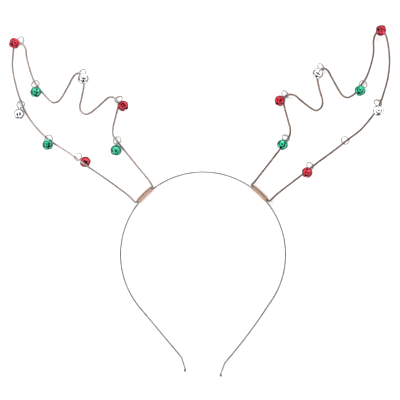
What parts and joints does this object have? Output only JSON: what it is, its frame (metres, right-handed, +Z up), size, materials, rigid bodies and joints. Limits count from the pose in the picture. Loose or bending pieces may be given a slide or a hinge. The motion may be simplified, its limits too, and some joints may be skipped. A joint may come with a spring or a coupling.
{
  "type": "reindeer antler headband",
  "caption": "Thin metal headband with bent-wire reindeer antlers bound to it, hung with small coloured jingle bells on jump rings.",
  "frame": {"origin": "middle of the inner face of the band's crown, where it sits on the head", "axes": "+Y from the band's ends towards the antlers, +X towards the antler with the taller tip, +Z up off the surface that it lies on"},
  "size_m": [0.3048, 0.2802, 0.0133],
  "materials": {
    "band_steel": "bare drawn spring steel strip, fine lengthwise grain",
    "antler_wire": "bright plated round wire with a warm rose-grey cast",
    "binding_copper": "bright copper-coloured craft wire",
    "ring_silver": "bright silver plate",
    "bell_red": "red metallic lacquer, glossy",
    "bell_green": "green metallic lacquer, glossy",
    "bell_silver": "bright silver plate"
  },
  "bodies": {
    "root": {"head_band": "band_steel", "antler_wire_left": "antler_wire", "antler_wire_right": "antler_wire", "wrap_left": "binding_copper", "wrap_right": "binding_copper", "jump_ring_left_1": "ring_silver", "bell_left_1": "bell_red", "jump_ring_left_2": "ring_silver", "bell_left_2": "bell_green", "jump_ring_left_3": "ring_silver", "bell_left_3": "bell_silver", "jump_ring_left_4": "ring_silver", "bell_left_4": "bell_red", "jump_ring_left_5": "ring_silver", "bell_left_5": "bell_green", "jump_ring_left_6": "ring_silver", "bell_left_6": "bell_red", "jump_ring_left_7": "ring_silver", "bell_left_7": "bell_green", "jump_ring_left_8": "ring_silver", "bell_left_8": "bell_silver", "jump_ring_right_1": "ring_silver", "bell_right_1": "bell_red", "jump_ring_right_2": "ring_silver", "bell_right_2": "bell_green", "jump_ring_right_3": "ring_silver", "bell_right_3": "bell_silver", "jump_ring_right_4": "ring_silver", "bell_right_4": "bell_red", "jump_ring_right_5": "ring_silver", "bell_right_5": "bell_green", "jump_ring_right_6": "ring_silver", "bell_right_6": "bell_red", "jump_ring_right_7": "ring_silver", "jump_ring_right_8": "ring_silver", "bell_right_8": "bell_silver"}
  },
  "joints": []
}
